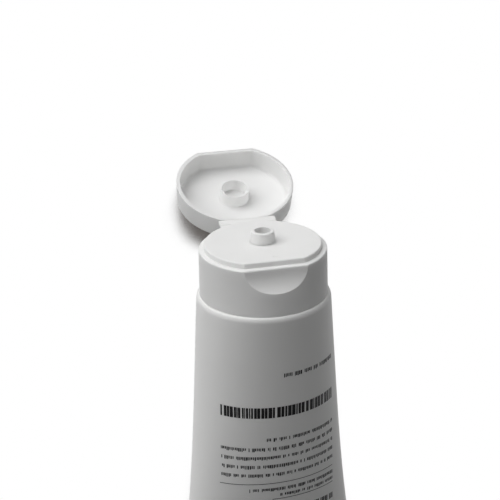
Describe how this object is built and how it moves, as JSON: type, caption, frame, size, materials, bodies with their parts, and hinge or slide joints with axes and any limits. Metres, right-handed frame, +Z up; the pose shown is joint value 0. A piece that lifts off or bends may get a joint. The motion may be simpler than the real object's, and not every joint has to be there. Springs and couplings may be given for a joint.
{
  "type": "face wash tube",
  "caption": "White plastic squeeze tube for face wash, crimped flat at one end, with a flip-top cap open on its living hinge. It lies on its back, propped on the lid.",
  "frame": {"origin": "middle of the bounding box's bottom, on the floor under the lying tube", "axes": "+Y along the lying tube from its crimped end towards its cap, +Z up, +X to the right of someone who looks along +Y"},
  "size_m": [0.0708, 0.1806, 0.0731],
  "materials": {
    "sleeve_film": "satin white polyethylene film",
    "head_plastic": "moulded white polyethylene",
    "gel": "clear wet gel",
    "cap_plastic": "moulded white polypropylene, soft gloss"
  },
  "bodies": {
    "tube": {"tube_sleeve": "sleeve_film", "tube_head": "head_plastic", "gel_fill": "gel", "cap_body": "cap_plastic"},
    "lid": {"flip_lid": "cap_plastic"}
  },
  "joints": [
    {"name": "lid_hinge", "type": "hinge", "parent": "tube", "child": "lid", "pos_m": [0, 0.06336, 0.03528], "axis": [1, 0, 0], "range_deg": [0, 159]}
  ]
}
